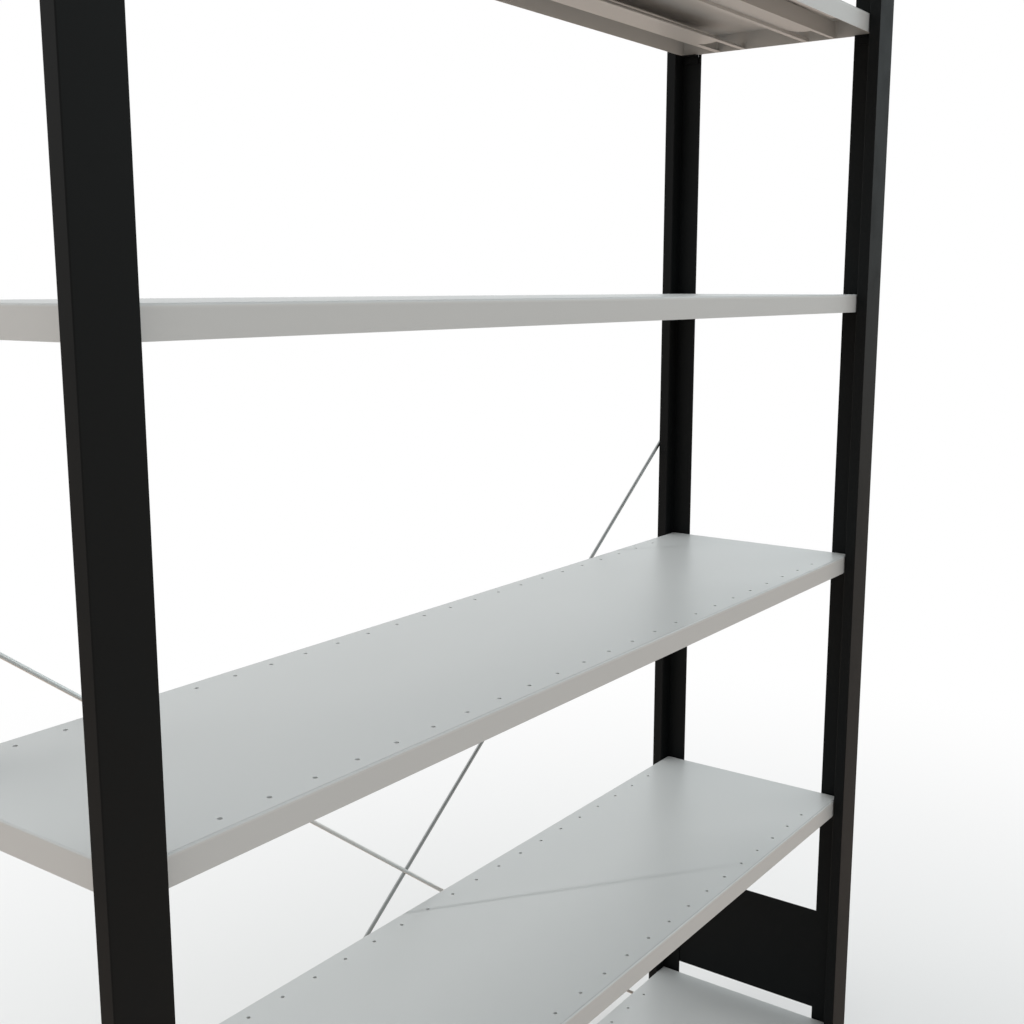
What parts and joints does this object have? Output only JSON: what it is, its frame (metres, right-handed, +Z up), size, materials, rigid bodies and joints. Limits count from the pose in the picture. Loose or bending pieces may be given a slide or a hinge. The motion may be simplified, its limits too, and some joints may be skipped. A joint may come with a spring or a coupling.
{
  "type": "archive shelving unit",
  "caption": "Tall open archive shelving bay with black T posts, riveted side ties, a thin rod cross brace at the back and light grey folded steel shelves that lift off clips.",
  "frame": {"origin": "on the floor, in the middle of the footprint, brace rods included", "axes": "+X along the shelves to the right seen from the front, +Y from the front to the braced back, +Z up"},
  "size_m": [1.352, 0.3354, 2.02],
  "materials": {
    "black_coat": "satin black powder coat",
    "grey_coat": "satin light grey powder coat",
    "zinc_rod": "drawn zinc-plated rod",
    "black_plastic": "fine moulded grain"
  },
  "bodies": {
    "frame": {"post_front_left": "black_coat", "foot_front_left": "black_plastic", "cap_front_left": "black_plastic", "post_front_right": "black_coat", "foot_front_right": "black_plastic", "cap_front_right": "black_plastic", "post_rear_left": "black_coat", "foot_rear_left": "black_plastic", "cap_rear_left": "black_plastic", "post_rear_right": "black_coat", "foot_rear_right": "black_plastic", "cap_rear_right": "black_plastic", "side_tie_lower_left": "black_coat", "rivets_lower_left": "black_coat", "side_tie_upper_left": "black_coat", "rivets_upper_left": "black_coat", "side_tie_lower_right": "black_coat", "rivets_lower_right": "black_coat", "side_tie_upper_right": "black_coat", "rivets_upper_right": "black_coat", "shelf_clips_1": "black_coat", "shelf_clips_2": "black_coat", "shelf_clips_3": "black_coat", "shelf_clips_4": "black_coat", "shelf_clips_5": "black_coat", "shelf_clips_6": "black_coat", "brace_rod_falling": "zinc_rod", "brace_rod_rising": "zinc_rod"},
    "shelf_1": {"shelf_tray_1": "grey_coat", "shelf_rib_front_1": "grey_coat", "shelf_rib_rear_1": "grey_coat"},
    "shelf_2": {"shelf_tray_2": "grey_coat", "shelf_rib_front_2": "grey_coat", "shelf_rib_rear_2": "grey_coat"},
    "shelf_3": {"shelf_tray_3": "grey_coat", "shelf_rib_front_3": "grey_coat", "shelf_rib_rear_3": "grey_coat"},
    "shelf_4": {"shelf_tray_4": "grey_coat", "shelf_rib_front_4": "grey_coat", "shelf_rib_rear_4": "grey_coat"},
    "shelf_5": {"shelf_tray_5": "grey_coat", "shelf_rib_front_5": "grey_coat", "shelf_rib_rear_5": "grey_coat"},
    "shelf_6": {"shelf_tray_6": "grey_coat", "shelf_rib_front_6": "grey_coat", "shelf_rib_rear_6": "grey_coat"}
  },
  "joints": [
    {"name": "shelf_1_lift", "type": "slide", "parent": "frame", "child": "shelf_1", "axis": [0, 0, 1], "range_m": [0, 0.33]},
    {"name": "shelf_2_lift", "type": "slide", "parent": "frame", "child": "shelf_2", "axis": [0, 0, 1], "range_m": [0, 0.33]},
    {"name": "shelf_3_lift", "type": "slide", "parent": "frame", "child": "shelf_3", "axis": [0, 0, 1], "range_m": [0, 0.33]},
    {"name": "shelf_4_lift", "type": "slide", "parent": "frame", "child": "shelf_4", "axis": [0, 0, 1], "range_m": [0, 0.33]},
    {"name": "shelf_5_lift", "type": "slide", "parent": "frame", "child": "shelf_5", "axis": [0, 0, 1], "range_m": [0, 0.33]},
    {"name": "shelf_6_lift", "type": "slide", "parent": "frame", "child": "shelf_6", "axis": [0, 0, 1], "range_m": [0, 0.33]}
  ]
}
